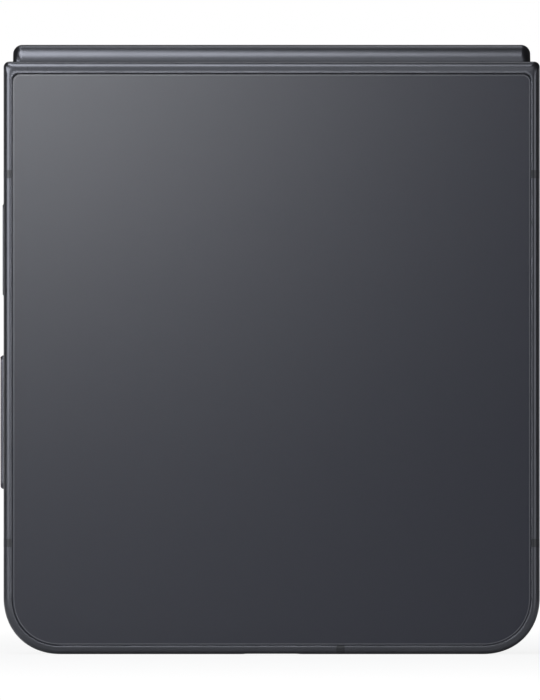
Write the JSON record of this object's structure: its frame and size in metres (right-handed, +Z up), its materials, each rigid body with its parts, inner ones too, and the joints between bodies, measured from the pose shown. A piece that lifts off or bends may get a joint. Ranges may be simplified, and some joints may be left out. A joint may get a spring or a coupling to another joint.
{
  "type": "foldable smartphone",
  "caption": "Clamshell folding phone, closed: dark satin glass outer faces in metal frames, a geared spine hinge on top and a folding inner display.",
  "frame": {"origin": "centre of the base of the closed phone, on the line between its two halves' free edges", "axes": "+X along the hinge, towards the card tray; +Y from the base half's rear glass to the cover half's outer glass; +Z up, from the free edges to the hinge spine"},
  "size_m": [0.0758, 0.0143, 0.0855],
  "materials": {
    "frame_metal": "satin anodised, dark slate",
    "plate_metal": "cast",
    "antenna_plastic": "matte",
    "rear_glass": "satin, dark slate back coating",
    "cover_glass": "polished over black",
    "lens_glass": "coated",
    "display": "polished",
    "bezel_plastic": "matte",
    "rubber": "matte",
    "copper": "bare windings",
    "cell": "foil wrap",
    "adhesive": "matte",
    "board": "solder mask",
    "flash_plastic": "diffuser",
    "steel": "ground"
  },
  "bodies": {
    "base_half": {"base_frame": "frame_metal", "base_antenna_strips": "antenna_plastic", "rear_glass": "rear_glass", "rear_glass_adhesive": "adhesive", "wireless_charging_coil": "copper", "base_battery": "cell", "base_midplate": "plate_metal", "base_support_plate": "steel", "inner_display_lower": "display", "base_bezel": "bezel_plastic", "base_bumpers": "rubber", "base_magnets": "steel", "sub_board": "board", "usb_socket": "steel", "loudspeaker": "bezel_plastic", "haptic_motor": "steel", "base_hinge_knuckles": "steel", "base_hinge_arms": "steel", "base_hinge_screws": "steel", "base_wing_pin": "steel"},
    "base_wing": {"base_wing_plate": "steel"},
    "spine": {"spine_cover": "frame_metal", "hinge_block_left": "steel", "hinge_block_right": "steel", "hinge_pins": "steel", "inner_display_fold": "display"},
    "base_sync": {"base_sync_shaft": "steel"},
    "cover_sync": {"cover_sync_shaft": "steel"},
    "cover_half": {"cover_frame": "frame_metal", "cover_antenna_strips": "antenna_plastic", "cover_glass": "cover_glass", "cover_glass_adhesive": "adhesive", "cover_display_panel": "display", "main_camera": "bezel_plastic", "wide_camera": "bezel_plastic", "camera_rings": "frame_metal", "camera_lenses": "lens_glass", "flash_module": "flash_plastic", "main_board": "board", "board_shield": "steel", "cover_battery": "cell", "cover_midplate": "plate_metal", "cover_support_plate": "steel", "inner_display_upper": "display", "cover_bezel": "bezel_plastic", "cover_bumpers": "rubber", "cover_magnets": "steel", "selfie_camera": "bezel_plastic", "earpiece_speaker": "bezel_plastic", "key_switches": "steel", "cover_hinge_knuckles": "steel", "cover_hinge_arms": "steel", "cover_hinge_screws": "steel", "cover_wing_pin": "steel"},
    "cover_wing": {"cover_wing_plate": "steel"},
    "power_button": {"power_key": "frame_metal"},
    "volume_button": {"volume_key": "frame_metal"},
    "card_tray": {"sim_tray": "frame_metal"}
  },
  "joints": [
    {"name": "hinge_base", "type": "hinge", "parent": "base_half", "child": "spine", "pos_m": [0, -0.0016, 0.08175], "axis": [1, 0, 0], "range_deg": [0, 90], "deforming": ["inner_display_fold"]},
    {"name": "hinge_cover", "type": "hinge", "parent": "spine", "child": "cover_half", "pos_m": [0, 0.0016, 0.08175], "axis": [1, 0, 0], "range_deg": [0, 90]},
    {"name": "base_sync_spin", "type": "hinge", "parent": "spine", "child": "base_sync", "pos_m": [0, -0.0008, 0.08314], "axis": [1, 0, 0], "range_deg": [0, 90]},
    {"name": "cover_sync_spin", "type": "hinge", "parent": "spine", "child": "cover_sync", "pos_m": [0, 0.0008, 0.08314], "axis": [1, 0, 0], "range_deg": [-90, 0]},
    {"name": "base_wing_tilt", "type": "hinge", "parent": "base_half", "child": "base_wing", "pos_m": [0, -0.00165, 0.0731], "axis": [1, 0, 0], "range_deg": [-6.5, 0]},
    {"name": "cover_wing_tilt", "type": "hinge", "parent": "cover_half", "child": "cover_wing", "pos_m": [0, 0.00165, 0.0731], "axis": [1, 0, 0], "range_deg": [0, 6.5]},
    {"name": "power_key_press", "type": "slide", "parent": "cover_half", "child": "power_button", "axis": [1, 0, 0], "range_m": [0, 0.0002], "stiffness_N_per_m": 4000},
    {"name": "volume_key_rock", "type": "hinge", "parent": "cover_half", "child": "volume_button", "pos_m": [-0.0362, 0.00355, 0.0325], "axis": [0, 1, 0], "range_deg": [-1, 1], "stiffness_Nm_per_rad": 0.7},
    {"name": "card_tray_slide", "type": "slide", "parent": "cover_half", "child": "card_tray", "axis": [1, 0, 0], "range_m": [0, 0.018]}
  ],
  "couplings": [
    {"joint": "hinge_cover", "follows": "hinge_base", "ratio": 1},
    {"joint": "base_sync_spin", "follows": "hinge_base", "ratio": 1},
    {"joint": "cover_sync_spin", "follows": "hinge_base", "ratio": -1},
    {"joint": "base_wing_tilt", "follows": "hinge_base", "ratio": -0.072222},
    {"joint": "cover_wing_tilt", "follows": "hinge_base", "ratio": 0.072222}
  ]
}
